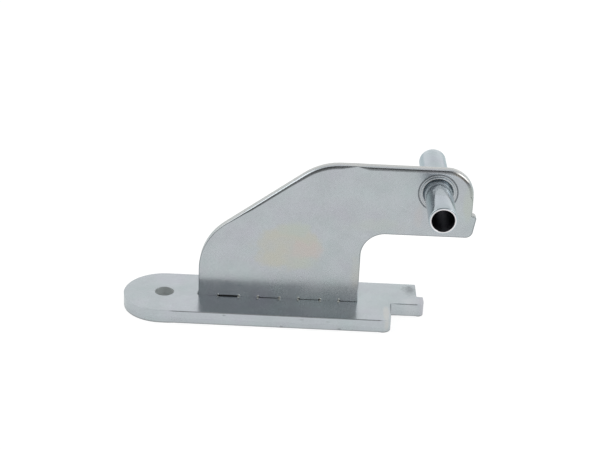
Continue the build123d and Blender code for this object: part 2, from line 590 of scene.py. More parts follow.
# %% [markdown]
# ## Pin
#
# The pin is a length of drawn tube, cut off and tumbled, so the mouth's outer edge is well rounded
# and its inner edge only broken. Its waist, under the staked rings, is where the arm's steel grips.

# %% Build the pin
rim_radius = 0.35
mouth_break = 0.1
rim_steps = 6
end_length = 3.0
waist_radius = 3.75
waist_half = 1.35

front_end = [(pin_bore, pin_front + end_length), (pin_bore, pin_front + mouth_break)]
front_end.append((pin_bore + mouth_break, pin_front))
for step in range(rim_steps + 1):
    angle = math.pi / 2 * step / rim_steps
    radius = pin_radius - rim_radius * (1 - math.sin(angle))
    front_end.append((radius, pin_front + rim_radius * (1 - math.cos(angle))))
pin_profile = [
    *front_end,
    (pin_radius, pin_front + end_length),
    (pin_radius, -waist_half),
    (waist_radius, -waist_half),
    (waist_radius, waist_half),
    (pin_radius, waist_half),
    (pin_radius, pin_rear - end_length),
    *((radius, pin_front + pin_rear - y) for radius, y in reversed(front_end)),
]

pin_mesh = bmesh.new()
pin_rings = turned_rings(pin_mesh, pin_profile, pin_x, pin_z)
join_rings(pin_mesh, [pin_rings[-1], pin_rings[0]])
hinge_pin = finish_piece("hinge_pin", pin_mesh)

# %% [markdown]
# ## Short words for shader nodes
#
# A material is a small network, and written out in full it hides what it does. A few helpers keep it
# readable. They place a node, do arithmetic on numbers and vectors, and lay one colour over another.
# Each takes numbers or other nodes' outputs alike.

# %% Helpers that place nodes and join them
MEASURES = ("DOT_PRODUCT", "LENGTH")


def feed(tree, socket, value):
    """Gives a socket its value: a link where the value is another node's output."""
    if isinstance(value, bpy.types.NodeSocket):
        tree.links.new(value, socket)
    else:
        socket.default_value = value


def put(tree, kind, values=None, **settings):
    """A node of that kind, its settings made and its inputs fed by name or number."""
    node = tree.nodes.new(kind)
    for name, setting in settings.items():
        setattr(node, name, setting)
    for name, value in (values or {}).items():
        feed(tree, node.inputs[name], value)
    return node


def calc(tree, operation, first, second=0.0):
    node = put(tree, "ShaderNodeMath", {0: first, 1: second}, operation=operation)
    return node.outputs[0]


def add(tree, level, mask, amount):
    """The level, plus that amount where the mask is one."""
    values = {0: mask, 1: amount, 2: level}
    return put(tree, "ShaderNodeMath", values, operation="MULTIPLY_ADD").outputs[0]


def vector(tree, operation, first, second=(0.0, 0.0, 0.0)):
    """Arithmetic on vectors, where a dot product or a length comes out as a number."""
    node = put(tree, "ShaderNodeVectorMath", {0: first, 1: second}, operation=operation)
    return node.outputs["Value" if operation in MEASURES else "Vector"]


def axes(tree, place):
    return put(tree, "ShaderNodeSeparateXYZ", {0: place}).outputs


def from_axis(tree, place, centre, across):
    """The distance from an axis through the centre; across is one in the directions that count."""
    apart = vector(tree, "SUBTRACT", place, centre)
    return vector(tree, "LENGTH", vector(tree, "MULTIPLY", apart, across))


def lay(tree, amount, under, over, blend_type="MIX"):
    """One colour laid over another by that amount; a mix node's colours are its sockets 6 and 7."""
    values = {0: amount, 6: under, 7: over}
    return put(tree, "ShaderNodeMix", values, data_type="RGBA", blend_type=blend_type).outputs[2]


def grey(level):
    return (level, level, level, 1.0)


# %% [markdown]
# Most masks are one of three kinds: a smooth step, a window between two steps, or a band near one
# value. And most edges are shaken by a noise, because nothing in a plating bath is drawn with a ruler.

# %% Helpers for masks and noise
def span(tree, value, low, high, out_low=0.0, out_high=1.0):
    """A smooth step that goes from out_low to out_high while the value goes from low to high."""
    ends = {"Value": value, "From Min": low, "From Max": high, "To Min": out_low, "To Max": out_high}
    return put(tree, "ShaderNodeMapRange", ends, interpolation_type="SMOOTHSTEP").outputs["Result"]


def window(tree, value, rise, fall):
    """One between two ranges: it rises over the first and falls over the second."""
    return calc(tree, "MULTIPLY", span(tree, value, *rise), span(tree, value, *fall, 1.0, 0.0))


def near(tree, value, middle, inner, outer, amount=1.0):
    """That amount within the inner distance of the middle, and none beyond the outer one."""
    away = calc(tree, "ABSOLUTE", calc(tree, "SUBTRACT", value, middle))
    return span(tree, away, inner, outer, amount, 0.0)


def noise(tree, place, scale, detail, roughness=0.5):
    values = {"Vector": place, "Scale": scale, "Detail": detail, "Roughness": roughness}
    return put(tree, "ShaderNodeTexNoise", values).outputs["Fac"]


def shake(tree, place, scale, detail, reach, roughness=0.5):
    """A noise about zero, which goes half the reach to either side."""
    about_zero = calc(tree, "SUBTRACT", noise(tree, place, scale, detail, roughness), 0.5)
    return calc(tree, "MULTIPLY", about_zero, reach)


def per_mm(tree, size):
    """A noise's scale for features of that size."""
    return calc(tree, "DIVIDE", 1.0, size)


# %% [markdown]
# ## Shared effects as node groups
#
# Grain, clouds, scratches and pressed edges are on all three pieces, only finer here and stronger
# there. Each effect is a node group with named inputs, made once and placed with each material's own
# values, on its own or inside a larger group. A group gives masks, values and colours, and the shader
# stays in the material. Every group is asked about a place on the piece, so it always has that input.

# %% A new node group
ORIGIN = (0.0, 0.0, 0.0)
UP = (0.0, 0.0, 1.0)
TOWARDS_FRONT = (0.0, -1.0, 0.0)
OUTPUT_KINDS = {"VALUE": "NodeSocketFloat", "RGBA": "NodeSocketColor"}


def input_kind(default):
    """A float's socket, or that of a colour with four numbers, or of a vector with three."""
    if isinstance(default, float):
        return "NodeSocketFloat"
    return "NodeSocketColor" if len(default) == 4 else "NodeSocketVector"


def new_group(name, inputs):
    """An empty group with those inputs and a place, and the sockets that bring them in."""
    tree = bpy.data.node_groups.new(name, "ShaderNodeTree")
    for label, default in {"Place": ORIGIN, **inputs}.items():
        socket = tree.interface.new_socket(label, in_out="INPUT", socket_type=input_kind(default))
        socket.default_value = default
    return tree, tree.nodes.new("NodeGroupInput").outputs


def give(tree, results):
    """Finishes a group: each result gets an output of that name."""
    for label, value in results.items():
        kind = OUTPUT_KINDS[value.type]
        tree.interface.new_socket(label, in_out="OUTPUT", socket_type=kind)
    outputs = tree.nodes.new("NodeGroupOutput").inputs
    for label, value in results.items():
        feed(tree, outputs[label], value)
    print("Group made:", tree.name, "with", ", ".join(results))
    return tree


def place_group(tree, group, place, values=None):
    """The group's outputs at that place, with the given values in place of its own."""
    return put(tree, "ShaderNodeGroup", {"Place": place, **(values or {})}, node_tree=group).outputs


# %% [markdown]
# ## Zinc grain
#
# Bright zinc on rolled sheet isn't a mirror. Its crystals make a fine grain about a third of a
# millimetre across, and the bath leaves clouds some millimetres wide that are a little lighter or
# duller. Two noises in millimetres give both, and a third, sparse one gives the small dull specks.

# %% Group: zinc grain
def zinc_grain_group():
    tree, given = new_group("Zinc grain", {"Grain Size": 0.35, "Cloud Size": 7.0})
    place = given["Place"]
    return give(tree, {
        "Grain": noise(tree, place, per_mm(tree, given["Grain Size"]), 3.0, 0.65),
        "Cloud": noise(tree, place, per_mm(tree, given["Cloud Size"]), 4.0, 0.55),
        "Speck": span(tree, noise(tree, place, 0.85, 2.0, 0.7), 0.68, 0.76),
    })


zinc_grain = zinc_grain_group()

# %% [markdown]
# ## Handling scratches
#
# Plated parts are tumbled and thrown into boxes, so they carry hairlines in every direction. A noise
# stretched twenty times along one direction has long thin contours, and keeping only a narrow band
# of its values turns these into hairlines. A broad noise thins them out to patches.

# %% Group: handling scratches
def scratches_group():
    inputs = {"Axis": UP, "Turn": 0.4, "Length": 14.0, "Spacing": 0.7}
    tree, given = new_group("Handling scratches", inputs)
    turned = {"Vector": given["Place"], "Axis": given["Axis"], "Angle": given["Turn"]}
    turned = put(tree, "ShaderNodeVectorRotate", turned, rotation_type="AXIS_ANGLE").outputs[0]
    along, across = (per_mm(tree, given[label]) for label in ("Length", "Spacing"))
    rates = put(tree, "ShaderNodeCombineXYZ", {0: along, 1: across, 2: across}).outputs[0]
    lines = noise(tree, vector(tree, "MULTIPLY", turned, rates), 1.0, 1.0)
    patches = span(tree, noise(tree, turned, 0.16, 3.0), 0.5, 0.62)
    return give(tree, {"Mask": calc(tree, "MULTIPLY", near(tree, lines, 0.5, 0.004, 0.014), patches)})


scratches = scratches_group()

# %% [markdown]
# ## Pressed edges
#
# What the press did is told from the surface's direction. The face looks along the plate's axis, the
# wall looks across it, and the rolled edge is what lies between; the plated finish paints the roll
# darker as painted shade. The upper part of the wall was sheared smooth, and below that the steel
# broke and is coarser. The border between the two wavers along the plate.

# %% Group: pressed edges
def pressed_edges_group():
    tree, given = new_group("Pressed edges", {"Axis": UP, "Depth": 0.0, "Thickness": 4.0})
    outward = put(tree, "ShaderNodeTexCoord").outputs["Normal"]
    facing = vector(tree, "DOT_PRODUCT", outward, given["Axis"])
    wall = near(tree, facing, 0.0, 0.15, 0.4)
    depth = calc(tree, "DIVIDE", given["Depth"], given["Thickness"])
    wavering = calc(tree, "ADD", depth, shake(tree, given["Place"], 0.3, 3.0, 0.5))
    return give(tree, {
        "Wall": wall,
        "Roll": window(tree, facing, (0.6, 0.82), (0.97, 0.999)),
        "Broken": calc(tree, "MULTIPLY", wall, span(tree, wavering, 0.5, 0.62)),
        "Facing": facing,
    })


pressed_edges = pressed_edges_group()

# %% [markdown]
# ## Passivation tint
#
# After plating, a thin passivation film is grown on the zinc. It is only a fraction of a wavelength
# thick and shows faint colours: a hint of teal where it is thinnest, then clear, then lavender. A slow
# noise stands for the film's thickness and a colour ramp turns that into its tint.

# %% Group: passivation tint
def passivation_group():
    tree, given = new_group("Passivation tint", {"Patch Size": 9.0, "Film": 0.5})
    swing = shake(tree, given["Place"], per_mm(tree, given["Patch Size"]), 3.0, 1.8, 0.6)
    film = put(tree, "ShaderNodeValToRGB", {"Fac": calc(tree, "ADD", given["Film"], swing)})
    teal, clear, lavender = (0.95, 1.0, 0.985, 1), (0.985, 0.995, 1.0, 1), (0.99, 0.965, 1.0, 1)
    stops = film.color_ramp.elements
    stops[0].position, stops[0].color = 0.1, teal
    stops[1].position, stops[1].color = 0.9, lavender
    stops.new(0.5).color = clear
    return give(tree, {"Tint": film.outputs["Color"]})


passivation = passivation_group()

# %% [markdown]
# ## The plated finish
#
# All three pieces went through the same bath, so one group of those effects makes the finish of each.
# The zinc's colour is varied by grain, clouds, specks and tint, hairlines are a little brighter, and
# rolled edges are painted darker as shade. The group also gives the cloud, the wall and which way the
# surface faces.
# Each material starts with it, adds marks of its own and then feeds its shader.

# %% Group: plated zinc
def plated_zinc_group():
    inputs = {"Axis": UP, "Depth": 0.0, "Thickness": 4.0, "Colour": (0.6, 0.64, 0.66, 1.0)}
    inputs.update({"Grain Size": 0.35, "Mean Roughness": 0.2, "Roll Shade": 0.3})
    tree, given = new_group("Plated zinc", inputs)
    place, axis = given["Place"], given["Axis"]
    grain = place_group(tree, zinc_grain, place, {"Grain Size": given["Grain Size"]})
    tint = place_group(tree, passivation, place)["Tint"]
    hair = [
        place_group(tree, scratches, place, {"Axis": axis, "Turn": turn})["Mask"]
        for turn in (0.35, 2.1)
    ]
    hairline = calc(tree, "MAXIMUM", *hair)
    pressed = {"Axis": axis, "Depth": given["Depth"], "Thickness": given["Thickness"]}
    edges = place_group(tree, pressed_edges, place, pressed)

    level = span(tree, grain["Grain"], 0.3, 0.7, 0.95, 1.05)
    level = calc(tree, "ADD", level, span(tree, grain["Cloud"], 0.3, 0.7, -0.04, 0.04))
    level = add(tree, level, grain["Speck"], -0.08)
    level = add(tree, level, hairline, 0.05)
    level = add(tree, level, edges["Broken"], -0.04)
    # Painted shade: the rolled edges are darkened by the Roll Shade amount
    level = calc(tree, "SUBTRACT", level, calc(tree, "MULTIPLY", edges["Roll"], given["Roll Shade"]))
    brightness = put(tree, "ShaderNodeCombineColor", {0: level, 1: level, 2: level}).outputs[0]
    tinted = lay(tree, 1.0, given["Colour"], tint, "MULTIPLY")

    rough = span(tree, grain["Grain"], 0.3, 0.7, -0.02, 0.03)
    rough = calc(tree, "ADD", rough, span(tree, grain["Cloud"], 0.3, 0.7, -0.02, 0.03))
    rough = calc(tree, "ADD", given["Mean Roughness"], add(tree, rough, edges["Broken"], 0.08))
    return give(tree, {
        "Colour": lay(tree, 1.0, tinted, brightness, "MULTIPLY"),
        "Roughness": rough,
        "Relief": add(tree, calc(tree, "MULTIPLY", grain["Grain"], 0.003), hairline, -0.003),
        "Cloud": grain["Cloud"],
        "Wall": edges["Wall"],
        "Facing": edges["Facing"],
    })


plated_zinc = plated_zinc_group()

# %% Start and end of a plated material
Plating = namedtuple("Plating", "material tree place depth zinc")


def plated_finish(name, axis, rolled_side, values):
    """Starts a material with plated zinc; the axis runs from its far side to its rolled one."""
    material = bpy.data.materials.new(name)
    material.use_nodes = True
    tree = material.node_tree
    own = put(tree, "ShaderNodeTexCoord").outputs["Object"]
    place = vector(tree, "MULTIPLY", own, (1 / MM, 1 / MM, 1 / MM))
    depth = calc(tree, "SUBTRACT", rolled_side, vector(tree, "DOT_PRODUCT", place, axis))
    zinc = place_group(tree, plated_zinc, place, {"Axis": axis, "Depth": depth, **values})
    return Plating(material, tree, place, depth, zinc)


def connect(plating, colour, metallic, roughness, height):
    """Feeds the shader: colour, metal, roughness, and a normal from the height in millimetres."""
    tree = plating.tree
    shader = tree.nodes["Principled BSDF"]
    feed(tree, shader.inputs["Base Color"], colour)
    feed(tree, shader.inputs["Metallic"], metallic)
    feed(tree, shader.inputs["Roughness"], roughness)
    bump = put(tree, "ShaderNodeBump", {"Height": height, "Strength": 1.0, "Distance": MM})
    feed(tree, shader.inputs["Normal"], bump.outputs["Normal"])


# %% [markdown]
# ## Marks on the finish
#
# A mark is a stain, or a patch of painted light or shade, that tints, dulls, darkens or lightens what
# lies under it. The marks are where they are on the photographed hinge, so they are placed by their
# centre and half-size in millimetres. The distance from the centre is shaken by a noise, which keeps a
# mark's edge from looking like an ellipse.

# %% Group: a stain at one place
def stain_group():
    inputs = {"Centre": ORIGIN, "Half Size": (1.0, 1.0, 1.0), "Ragged": 0.5, "Grain": 2.0, "Soft": 0.5}
    tree, given = new_group("Stain", inputs)
    away = vector(tree, "SUBTRACT", given["Place"], given["Centre"])
    distance = vector(tree, "LENGTH", vector(tree, "DIVIDE", away, given["Half Size"]))
    ragged = shake(tree, given["Place"], per_mm(tree, given["Grain"]), 4.0, given["Ragged"])
    shaken = calc(tree, "ADD", distance, ragged)
    start = calc(tree, "SUBTRACT", 1.0, given["Soft"])
    return give(tree, {"Mask": span(tree, shaken, start, 1.0, 1.0, 0.0)})


stain = stain_group()

# %% Lay a mark on a colour
Mark = namedtuple("Mark", "centre half_size colour strength ragged grain soft")


def mark_mask(plating, mark):
    values = {
        "Centre": mark.centre, "Half Size": mark.half_size,
        "Ragged": mark.ragged, "Grain": mark.grain, "Soft": mark.soft,
    }
    return place_group(plating.tree, stain, plating.place, values)["Mask"]


def lay_marks(plating, colour, marks):
    """The colour with each mark laid over it, a little uneven as the clouds of the plating are."""
    tree = plating.tree
    patchy = span(tree, plating.zinc["Cloud"], 0.35, 0.6, 0.6, 1.0)
    for mark in marks:
        amount = calc(tree, "MULTIPLY", mark_mask(plating, mark), patchy)
        colour = lay(tree, calc(tree, "MULTIPLY", amount, mark.strength), colour, mark.colour)
    return colour


# %% [markdown]
# ## Beads at the tabs
#
# Riveting squeezed a little metal out at the corners of the tabs. It sits there as small pale matt
# beads, painted glints on the arm plate's face and on the base plate in front of it. Both plates ask
# the same group, which measures the distance to the nearest tab corner along the foot.

# %% Group: beads at the tab corners
def beads_group():
    tree, given = new_group("Beads", {"Axis": UP, "Line": 0.0, "Radius": 0.3})
    along = axes(tree, given["Place"])["X"]
    from_first = calc(tree, "SUBTRACT", along, foot_start - tab_pitch)
    to_left = calc(tree, "MODULO", from_first, tab_pitch)
    to_right = calc(tree, "ABSOLUTE", calc(tree, "SUBTRACT", to_left, tab_width))
    to_next = calc(tree, "SUBTRACT", tab_pitch, to_left)
    aside = calc(tree, "MINIMUM", calc(tree, "MINIMUM", to_left, to_next), to_right)
    height = vector(tree, "DOT_PRODUCT", given["Place"], given["Axis"])
    off_line = calc(tree, "SUBTRACT", height, given["Line"])
    squares = [calc(tree, "MULTIPLY", side, side) for side in (aside, off_line)]
    distance = calc(tree, "SQRT", calc(tree, "ADD", *squares))
    distance = calc(tree, "ADD", distance, shake(tree, given["Place"], 2.2, 1.0, 0.5))
    bead = span(tree, calc(tree, "DIVIDE", distance, given["Radius"]), 0.2, 1.0, 1.0, 0.0)
    first, last = foot_start + tab_width, foot_end + 0.3
    in_foot = window(tree, along, (first, first + 0.2), (last, last + 0.3))
    return give(tree, {"Bead": calc(tree, "MULTIPLY", bead, in_foot)})


beads = beads_group()

# %% [markdown]
# ## Base plate's finish
#
# The thick plate carries a dull stain near its far right-hand corner, in a shallow dent, and some
# nicks in its front wall. Along the notch it is painted lighter as a painted reflection, the notch's
# inner corner has painted shade, and the tongue is a little lighter with a hint of lavender at its end.
# The lower edge is painted darker as shade near the floor, and the screw hole's wall is darker too.
# Under the arm, in the gap between the plates, the steel is painted dark as shade.

# %% Material: plated base
# Painted shade: a dark colour for the gap between the plates, on the base under the arm and on the
# arm's foot
gap_shade_dark = (0.14, 0.14, 0.15, 1)
# Painted glint: pale matt beads at the tab corners, partly squeezed metal
squeezed_metal_glint = (0.66, 0.67, 0.62, 1)
nick_dark = (0.12, 0.12, 0.13, 1)


def nick(across, up, half_length, half_height, strength):
    """A dark nick in the base plate's front wall."""
    centre, half_size = (across, -base_half_width, up), (half_length, 0.6, half_height)
    return Mark(centre, half_size, nick_dark, strength, 0.8, 0.5, 0.6)


dull_stain = Mark((73.0, 7.6, 4.0), (2.7, 4.4, 1.0), (0.36, 0.4, 0.41, 1), 0.5, 1.2, 1.6, 0.5)
stain_core = Mark((73.3, 8.2, 4.0), (1.6, 3.0, 1.0), (0.18, 0.2, 0.22, 1), 0.55, 1.2, 0.8, 0.7)
# Painted reflection: a lighter band on the notch's rounded corner and its top edge
notch_painted_reflection = Mark((65.6, -7.5, 2.4), (1.3, 6.5, 3.4), (0.69, 0.695, 0.67, 1), 0.7, 0.3, 2.0, 0.4)
# Painted shade: the notch's inner corner is darkened
notch_corner_shade = Mark((67.15, -1.3, 2.2), (0.4, 0.5, 2.6), (0.22, 0.24, 0.25, 1), 0.8, 0.2, 1.0, 0.5)
tongue_root = Mark((73.2, 0.5, 2.4), (3.4, 3.4, 3.4), (0.655, 0.69, 0.715, 1), 0.75, 0.3, 2.0, 0.5)
tongue_tip = Mark((76.7, 1.0, 2.4), (1.5, 4.0, 3.4), (0.63, 0.61, 0.66, 1), 0.6, 0.3, 2.0, 0.5)
base_marks = [
    dull_stain, stain_core, notch_painted_reflection, notch_corner_shade, tongue_root, tongue_tip,
    nick(35.3, 0.35, 0.8, 0.45, 0.5),
    nick(52.0, 0.5, 0.8, 0.45, 0.5),
    nick(18.5, 3.3, 0.7, 0.35, 0.3),
    nick(41.1, 3.0, 1.0, 0.3, 0.25),
    nick(48.5, 2.7, 0.8, 0.3, 0.2),
]


def plated_base_material():
    plating = plated_finish("plated_base", UP, base_thickness, {
        "Thickness": base_thickness, "Colour": (0.594, 0.634, 0.66, 1),
        "Grain Size": 0.4, "Mean Roughness": 0.21, "Roll Shade": 0.25,
    })
    tree, place, zinc = plating.tree, plating.place, plating.zinc
    at = axes(tree, place)
    # Painted shade: the lower edge is darkened towards the floor
    painted_low_shade = span(tree, at["Z"], 0.1, 0.55, 0.6, 0.0)
    colour = lay(tree, painted_low_shade, zinc["Colour"], (0.2, 0.2, 0.2, 1))
    colour = lay_marks(plating, colour, base_marks)
    from_hole = from_axis(tree, place, ORIGIN, (1.0, 1.0, 0.0))
    in_hole = span(tree, from_hole, screw_hole_radius, screw_hole_radius + 0.1, 1.0, 0.0)
    colour = lay(tree, in_hole, colour, (0.57, 0.6, 0.6, 1))

    foot_half = (foot_end - foot_start) / 2
    along_foot = near(tree, at["X"], foot_start + foot_half, foot_half - 0.1, foot_half)
    # Painted shade in the gap under the arm
    gap_shade_under_arm = calc(tree, "MULTIPLY", along_foot, near(tree, at["Y"], 0.0, 1.22, 1.3))
    colour = lay(tree, gap_shade_under_arm, colour, gap_shade_dark)
    # Painted glints at the tab corners on the base plate
    bead_line = {"Axis": TOWARDS_FRONT, "Line": 1.6, "Radius": 0.5}
    bead = place_group(tree, beads, place, bead_line)["Bead"]
    colour = lay(tree, bead, colour, squeezed_metal_glint)

    metal = calc(tree, "SUBTRACT", 1.0, bead)
    rough = add(tree, zinc["Roughness"], gap_shade_under_arm, 0.3)
    rough = add(tree, rough, in_hole, 0.5)
    rough = add(tree, rough, bead, 0.3)
    relief = add(tree, zinc["Relief"], mark_mask(plating, dull_stain), -0.05)
    relief = add(tree, relief, bead, 0.12)
    connect(plating, colour, metal, rough, relief)
    return plating.material


base_plate.data.materials.append(plated_base_material())
print("Base plate's material:", base_plate.data.materials[0].name)

# %% [markdown]
# ## Arm plate's finish
#
# Thicker film colours the middle of the web: straw at the left, greener above, rose at the right.
# Fainter patches lie by the pin, at the arm's end and along the web's right-hand edge, the foot is
# painted paler as a painted reflection, more at the right, and the wall has a touch of cream. The
# corner above the pin has a painted highlight with a painted dark line of shade below it. The fine
# ridges round the pin carry painted highlights, and the groove outside them painted shade. Along
# the foot's underside the steel is painted dark as shade in the gap. The web is smoothest at its
# lower left, where it mirrors the base plate's front edge sharply.

# %% Material: plated arm
straw = (0.635, 0.635, 0.565, 1)
leaf = (0.595, 0.645, 0.59, 1)
rose = (0.665, 0.61, 0.585, 1)
# Painted reflection: the foot and its right part are painted paler
foot_painted_reflection = (0.74, 0.77, 0.79, 1)
right_painted_reflection = (0.72, 0.745, 0.76, 1)
# Painted highlight on the ridges round the pin
ridge_painted_highlight = (0.95, 0.96, 0.96, 1)
# Painted shade in the groove outside the ridges
groove_painted_shade = (0.26, 0.27, 0.28, 1)
# Painted shade: a dark line below the corner's painted highlight
corner_shade_colour = (0.22, 0.21, 0.19, 1)


def front_mark(across, up, half_length, half_height, *look):
    """A mark on the arm plate's front face; the look is what comes after the half-size in a Mark."""
    return Mark((across, arm_front, up), (half_length, 4.0, half_height), *look)


arm_marks = [
    front_mark(35.8, 20.9, 11.0, 8.2, straw, 0.9, 0.9, 3.5, 0.4),
    front_mark(31.5, 16.6, 6.0, 3.0, straw, 0.7, 1.0, 2.5, 0.6),
    front_mark(40.5, 15.8, 6.0, 3.0, leaf, 0.8, 1.0, 2.5, 0.6),
    front_mark(37.8, 26.8, 5.5, 3.2, leaf, 0.8, 1.1, 3.0, 0.6),
    front_mark(41.0, 20.3, 6.5, 3.4, rose, 0.85, 1.2, 2.5, 0.6),
    front_mark(73.2, 33.0, 2.0, 4.5, rose, 0.4, 1.2, 2.0, 0.7),
    front_mark(62.0, 29.0, 12.0, 3.0, leaf, 0.35, 1.2, 3.0, 0.7),
    front_mark(87.3, 37.5, 2.2, 7.0, leaf, 0.7, 0.6, 3.0, 0.5),
    front_mark(56.2, 13.0, 2.2, 10.0, straw, 0.45, 0.8, 2.0, 0.8),
    # Painted reflection on the foot, lighter at its right
    front_mark(47.0, 5.5, 19.0, 4.5, foot_painted_reflection, 0.65, 0.6, 4.0, 0.6),
    front_mark(53.5, 7.0, 7.0, 3.0, right_painted_reflection, 0.5, 0.6, 3.0, 0.6),
]
# Painted highlight on the arm's corner above the pin
corner_painted_highlight = Mark((84.9, 0.0, 45.4), (4.2, 3.0, 2.6), (0.84, 0.835, 0.8, 1), 1.0, 0.5, 1.5, 0.4)


def plated_arm_material():
    plating = plated_finish("plated_arm", TOWARDS_FRONT, -arm_front, {
        "Thickness": arm_thickness, "Colour": (0.594, 0.629, 0.652, 1),
        "Grain Size": 0.35, "Mean Roughness": 0.26, "Roll Shade": 0.45,
    })
    tree, place, zinc = plating.tree, plating.place, plating.zinc
    wall, facing = zinc["Wall"], zinc["Facing"]
    colour = lay_marks(plating, zinc["Colour"], arm_marks)
    colour = lay(tree, calc(tree, "MULTIPLY", wall, 0.7), colour, (0.63, 0.635, 0.61, 1))
    # Painted highlight on the corner's roll and wall, and painted shade on the line below it
    corner = mark_mask(plating, corner_painted_highlight)
    corner_highlight_line = window(tree, facing, (0.5, 0.62), (0.8, 0.88))
    corner_highlight_mask = calc(tree, "MAXIMUM", corner_highlight_line, calc(tree, "MULTIPLY", wall, 0.6))
    colour = lay(tree, calc(tree, "MULTIPLY", corner, corner_highlight_mask), colour, corner_painted_highlight.colour)
    corner_shade_line = window(tree, facing, (0.86, 0.9), (0.97, 0.99))
    colour = lay(tree, calc(tree, "MULTIPLY", corner, corner_shade_line), colour, corner_shade_colour)

    at = axes(tree, place)
    # Painted shade in the gap along the foot's underside
    near_foot = span(tree, at["Z"], arm_seat + 0.3, arm_seat + 0.4, 1.0, 0.0)
    gap_shade_underside = calc(tree, "MULTIPLY", near_foot, span(tree, plating.depth, 0.25, 0.4))
    colour = lay(tree, gap_shade_underside, colour, gap_shade_dark)
    # Painted glints at the tab corners on the arm plate
    bead_line = {"Axis": UP, "Line": arm_seat + 0.35, "Radius": 0.5}
    bead = place_group(tree, beads, place, bead_line)["Bead"]
    colour = lay(tree, bead, colour, squeezed_metal_glint)

    # Painted highlights on the ridges and painted shade in the outer groove
    radius = from_axis(tree, place, (pin_x, 0.0, pin_z), (1.0, 0.0, 1.0))
    inner = near(tree, radius, inner_ridge, 0.03, 0.11)
    ridge = calc(tree, "MAXIMUM", inner, near(tree, radius, outer_ridge, 0.03, 0.11, 0.45))
    colour = lay(tree, ridge, colour, ridge_painted_highlight)
    colour = lay(tree, near(tree, radius, outer_groove, 0.06, 0.15, 0.65), colour, groove_painted_shade)

    metal = add(tree, 0.93, calc(tree, "MAXIMUM", bead, ridge), -0.8)
    left, low = span(tree, at["X"], 18.0, 40.0, 1.0, 0.0), span(tree, at["Z"], 12.0, 20.0, 1.0, 0.0)
    rough = add(tree, zinc["Roughness"], bead, 0.3)
    rough = add(tree, rough, calc(tree, "MULTIPLY", left, low), -0.06)
    connect(plating, colour, metal, rough, add(tree, zinc["Relief"], bead, 0.12))
    return plating.material


arm_plate.data.materials.append(plated_arm_material())
print("Arm plate's material:", arm_plate.data.materials[0].name)

# %% [markdown]
# ## Pin's finish
#
# The drawn tube is the smoothest piece, so it mirrors the arm and the room in clear bands. Its
# plating has a blue-green tint on both flanks of the near end, darkened there as painted shade. The
# staking punch scuffed it matt and pale on top, up to a ragged edge near the arm. The flat of its
# mouth is painted near white as a painted highlight, and the bore is painted darker deeper in, as
# shade.

# %% Material: plated pin
# Blue-green tint on the pin's flanks, darkened as painted shade
flank_tints_and_shade = [
    Mark((74.3, -9.0, 41.5), (1.6, 10.0, 4.0), (0.46, 0.56, 0.585, 1), 0.7, 0.4, 3.0, 0.6),
    Mark((81.7, -9.0, 41.5), (2.1, 10.0, 4.0), (0.42, 0.56, 0.615, 1), 0.85, 0.4, 3.0, 0.6),
]
scuff = Mark((78.1, -8.6, 43.7), (2.4, 4.4, 1.5), (0.52, 0.585, 0.625, 1), 0.8, 0.8, 0.9, 0.3)
flat_end = (3.52, 3.64)


def plated_pin_material():
    plating = plated_finish("plated_pin", TOWARDS_FRONT, -pin_front, {
        "Thickness": pin_rear - pin_front, "Colour": (0.55, 0.614, 0.65, 1),
        "Grain Size": 0.3, "Mean Roughness": 0.1, "Roll Shade": 0.0,
    })
    tree, place, zinc = plating.tree, plating.place, plating.zinc
    colour = lay_marks(plating, zinc["Colour"], flank_tints_and_shade)
    scuffed = calc(tree, "MULTIPLY", mark_mask(plating, scuff), scuff.strength)
    colour = lay(tree, scuffed, colour, scuff.colour)

    radius = from_axis(tree, place, (pin_x, 0.0, pin_z), (1.0, 0.0, 1.0))
    from_middle = calc(tree, "SUBTRACT", axes(tree, place)["Y"], (pin_front + pin_rear) / 2)
    from_middle = calc(tree, "ABSOLUTE", from_middle)
    from_end = calc(tree, "SUBTRACT", (pin_rear - pin_front) / 2, from_middle)
    bore_edge = (pin_bore + 0.02, pin_bore + 0.08)
    flat = window(tree, radius, bore_edge, flat_end)
    # Painted highlight: the mouth's flat is coloured near white
    rim = calc(tree, "MULTIPLY", flat, span(tree, from_end, 0.1, 0.2, 1.0, 0.0))
    colour = lay(tree, rim, colour, (1.0, 0.98, 1.0, 1))
    # Painted shade: the bore is darker deeper in
    bore = span(tree, radius, *bore_edge, 1.0, 0.0)
    dark = lay(tree, span(tree, from_end, 0.3, 3.5), (0.35, 0.35, 0.38, 1), (0.14, 0.14, 0.17, 1))
    colour = lay(tree, bore, colour, dark)

    metal = calc(tree, "SUBTRACT", 1.0, scuffed)
    rough = add(tree, add(tree, zinc["Roughness"], bore, 0.25), rim, 0.15)
    connect(plating, colour, metal, rough, zinc["Relief"])
    return plating.material


hinge_pin.data.materials.append(plated_pin_material())
print("Pin's material:", hinge_pin.data.materials[0].name)

# %% [markdown]
# ## Camera
#
# The camera stands where the photograph was taken from: 25 degrees above the plate, almost square to
# the arm, tilted a little clockwise. A long lens keeps the near and far edges nearly parallel.

# %% Camera at the photograph's viewing angle
camera_place = Vector((39.161, -360.122, 193.291)) * MM
camera_turn = math.radians(-0.0165)
camera_tilt = math.radians(24.7046)
camera_roll = math.radians(2.6594)

camera_data = bpy.data.cameras.new("camera")
camera_data.lens = 82.118
camera_data.sensor_width = 36.0
camera_data.clip_start = 0.01
camera = new_object("camera", camera_data)
camera.matrix_world = (
    Matrix.Translation(camera_place)
    @ Matrix.Rotation(camera_turn, 4, "Z")
    @ Matrix.Rotation(math.pi / 2 - camera_tilt, 4, "X")
    @ Matrix.Rotation(camera_roll, 4, "Z")
)
bpy.context.scene.camera = camera
print("Camera", round(camera_place.length / MM), "mm from the screw hole")

